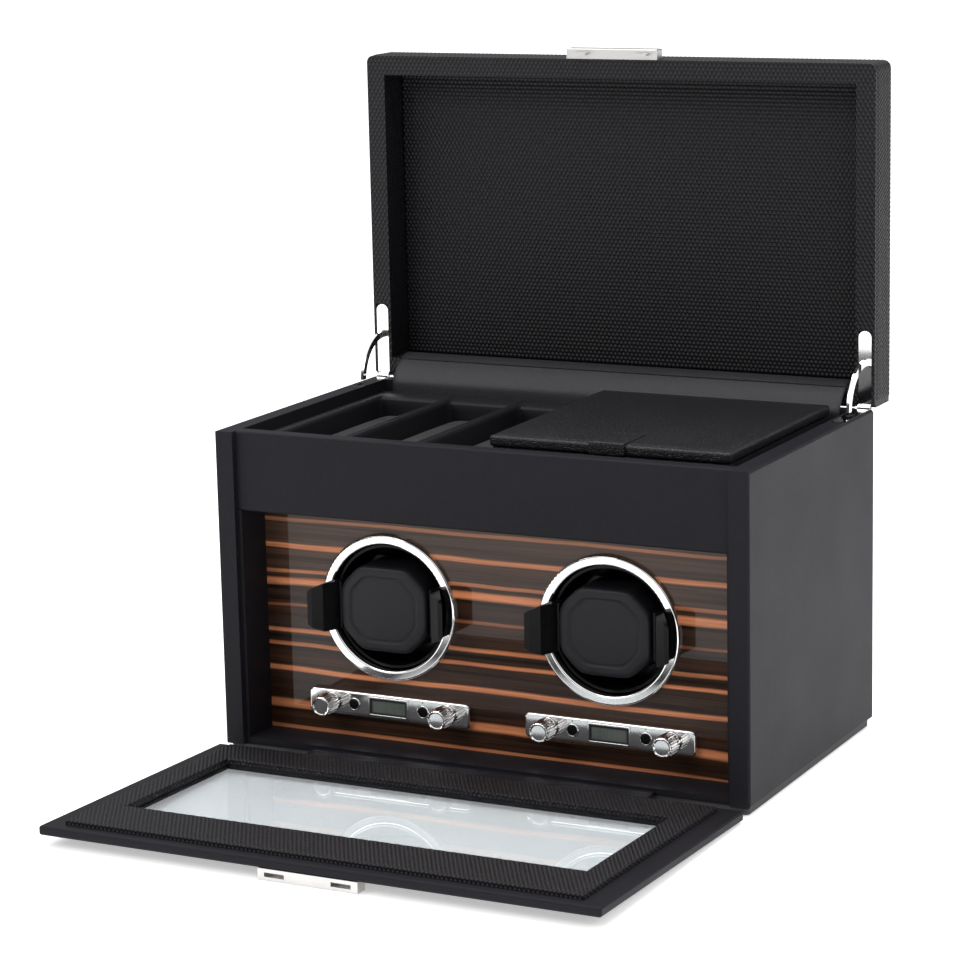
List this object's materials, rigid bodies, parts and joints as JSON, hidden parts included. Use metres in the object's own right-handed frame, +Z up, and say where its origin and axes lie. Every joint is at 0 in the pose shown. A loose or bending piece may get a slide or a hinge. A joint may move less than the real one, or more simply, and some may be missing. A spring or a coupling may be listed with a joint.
{
  "type": "watch winder box",
  "caption": "Leather-covered box with a glazed fold-down door over motor-driven watch winders and a lidded storage tray above.",
  "frame": {"origin": "middle of the case's footprint on the surface it stands on", "axes": "+X to the right as seen from the front, +Y towards the back, +Z up"},
  "size_m": [0.337, 0.4236, 0.405],
  "materials": {
    "charcoal_leather": "fine grain, satin",
    "embossed_leather": "embossed, satin",
    "lining_leather": "smooth, matte",
    "pebbled_leather": "pebbled, matte",
    "ebony_lacquer": "high gloss lacquer over striped ebony",
    "board": "raw board",
    "chrome": "polished",
    "steel": "satin",
    "gloss_black": "gloss",
    "matte_black": "matte",
    "lcd": "gloss",
    "circuit": "satin",
    "clear_glass": "clear",
    "felt": "felt",
    "suede": "soft nap",
    "belt_rubber": "matte"
  },
  "bodies": {
    "case": {"left_side_panel": "charcoal_leather", "right_side_panel": "charcoal_leather", "back_panel": "charcoal_leather", "base_board": "board", "base_felt": "felt", "front_fascia": "charcoal_leather", "compartment_floor": "charcoal_leather", "reveal_lining": "charcoal_leather", "ebony_panel": "ebony_lacquer", "tray_floor": "charcoal_leather", "tray_frame": "lining_leather", "bezel_rings": "chrome", "drum_housings": "matte_black", "bearings": "steel", "motors": "steel", "belts": "belt_rubber", "control_boards": "circuit", "control_plates": "chrome", "lcd_windows": "lcd", "power_jack": "matte_black", "body_hinge_leaves": "chrome", "hinge_pins": "steel", "body_screws": "chrome", "door_hinge_straps": "steel", "lid_gusset": "lining_leather", "door_gusset": "lining_leather"},
    "lid": {"lid_walls": "embossed_leather", "lid_top_board": "embossed_leather", "lid_lining": "embossed_leather", "lid_latch_bar": "chrome", "lid_hinge_leaves": "chrome", "lid_screws": "chrome"},
    "door": {"door_frame": "charcoal_leather", "door_trim": "embossed_leather", "door_glass": "clear_glass", "striker_plate": "chrome", "door_hinge_leaves": "steel"},
    "drum_left": {"drum_left": "gloss_black", "axle_left": "steel"},
    "motor_pulley_left": {"motor_pulley_left": "steel"},
    "cuff_left": {"cuff_frame_left": "gloss_black", "cuff_pad_left": "lining_leather"},
    "drum_right": {"drum_right": "gloss_black", "axle_right": "steel"},
    "motor_pulley_right": {"motor_pulley_right": "steel"},
    "cuff_right": {"cuff_frame_right": "gloss_black", "cuff_pad_right": "lining_leather"},
    "knob_1": {"knob_1": "chrome"},
    "button_1": {"button_1": "gloss_black"},
    "knob_2": {"knob_2": "chrome"},
    "button_2": {"button_2": "gloss_black"},
    "knob_3": {"knob_3": "chrome"},
    "button_3": {"button_3": "gloss_black"},
    "knob_4": {"knob_4": "chrome"},
    "button_4": {"button_4": "gloss_black"},
    "travel_case": {"travel_case_base": "pebbled_leather"},
    "travel_case_lid": {"travel_case_lid": "pebbled_leather"},
    "watch_pillow_1": {"watch_pillow_1": "suede"},
    "watch_pillow_2": {"watch_pillow_2": "suede"},
    "watch_pillow_3": {"watch_pillow_3": "suede"}
  },
  "joints": [
    {"name": "lid_hinge", "type": "hinge", "parent": "case", "child": "lid", "pos_m": [0, 0.0988, 0.1953], "axis": [-1, 0, 0], "range_deg": [-90, 0], "deforming": ["lid_gusset"]},
    {"name": "door_hinge", "type": "hinge", "parent": "case", "child": "door", "pos_m": [0, -0.1033, 0.0025], "axis": [1, 0, 0], "range_deg": [-88.4, 0], "deforming": ["door_gusset"]},
    {"name": "drum_left_spin", "type": "hinge", "parent": "case", "child": "drum_left", "pos_m": [-0.071, -0.05, 0.0905], "axis": [0, 1, 0], "continuous": true},
    {"name": "motor_pulley_left_spin", "type": "hinge", "parent": "case", "child": "motor_pulley_left", "pos_m": [-0.071, -0.02, 0.036], "axis": [0, 1, 0], "continuous": true},
    {"name": "cuff_left_pull", "type": "slide", "parent": "drum_left", "child": "cuff_left", "axis": [0, -1, 0], "range_m": [0, 0.03]},
    {"name": "drum_right_spin", "type": "hinge", "parent": "case", "child": "drum_right", "pos_m": [0.071, -0.05, 0.0905], "axis": [0, 1, 0], "continuous": true},
    {"name": "motor_pulley_right_spin", "type": "hinge", "parent": "case", "child": "motor_pulley_right", "pos_m": [0.071, -0.02, 0.036], "axis": [0, 1, 0], "continuous": true},
    {"name": "cuff_right_pull", "type": "slide", "parent": "drum_right", "child": "cuff_right", "axis": [0, -1, 0], "range_m": [0, 0.03]},
    {"name": "knob_1_turn", "type": "hinge", "parent": "case", "child": "knob_1", "pos_m": [-0.11, -0.08, 0.03], "axis": [0, -1, 0], "range_deg": [-135, 135]},
    {"name": "button_1_press", "type": "slide", "parent": "case", "child": "button_1", "axis": [0, 1, 0], "range_m": [0, 0.0008], "stiffness_N_per_m": 500},
    {"name": "knob_2_turn", "type": "hinge", "parent": "case", "child": "knob_2", "pos_m": [-0.033, -0.08, 0.03], "axis": [0, -1, 0], "range_deg": [-135, 135]},
    {"name": "button_2_press", "type": "slide", "parent": "case", "child": "button_2", "axis": [0, 1, 0], "range_m": [0, 0.0008], "stiffness_N_per_m": 500},
    {"name": "knob_3_turn", "type": "hinge", "parent": "case", "child": "knob_3", "pos_m": [0.033, -0.08, 0.03], "axis": [0, -1, 0], "range_deg": [-135, 135]},
    {"name": "button_3_press", "type": "slide", "parent": "case", "child": "button_3", "axis": [0, 1, 0], "range_m": [0, 0.0008], "stiffness_N_per_m": 500},
    {"name": "knob_4_turn", "type": "hinge", "parent": "case", "child": "knob_4", "pos_m": [0.11, -0.08, 0.03], "axis": [0, -1, 0], "range_deg": [-135, 135]},
    {"name": "button_4_press", "type": "slide", "parent": "case", "child": "button_4", "axis": [0, 1, 0], "range_m": [0, 0.0008], "stiffness_N_per_m": 500},
    {"name": "travel_case_lift", "type": "slide", "parent": "case", "child": "travel_case", "axis": [0, 0, 1], "range_m": [0, 0.06]},
    {"name": "travel_case_lid_hinge", "type": "hinge", "parent": "travel_case", "child": "travel_case_lid", "pos_m": [0.073, 0.082, 0.1926], "axis": [-1, 0, 0], "range_deg": [0, 75]},
    {"name": "watch_pillow_1_lift", "type": "slide", "parent": "case", "child": "watch_pillow_1", "axis": [0, 0, 1], "range_m": [0, 0.05]},
    {"name": "watch_pillow_2_lift", "type": "slide", "parent": "case", "child": "watch_pillow_2", "axis": [0, 0, 1], "range_m": [0, 0.05]},
    {"name": "watch_pillow_3_lift", "type": "slide", "parent": "case", "child": "watch_pillow_3", "axis": [0, 0, 1], "range_m": [0, 0.05]}
  ]
}
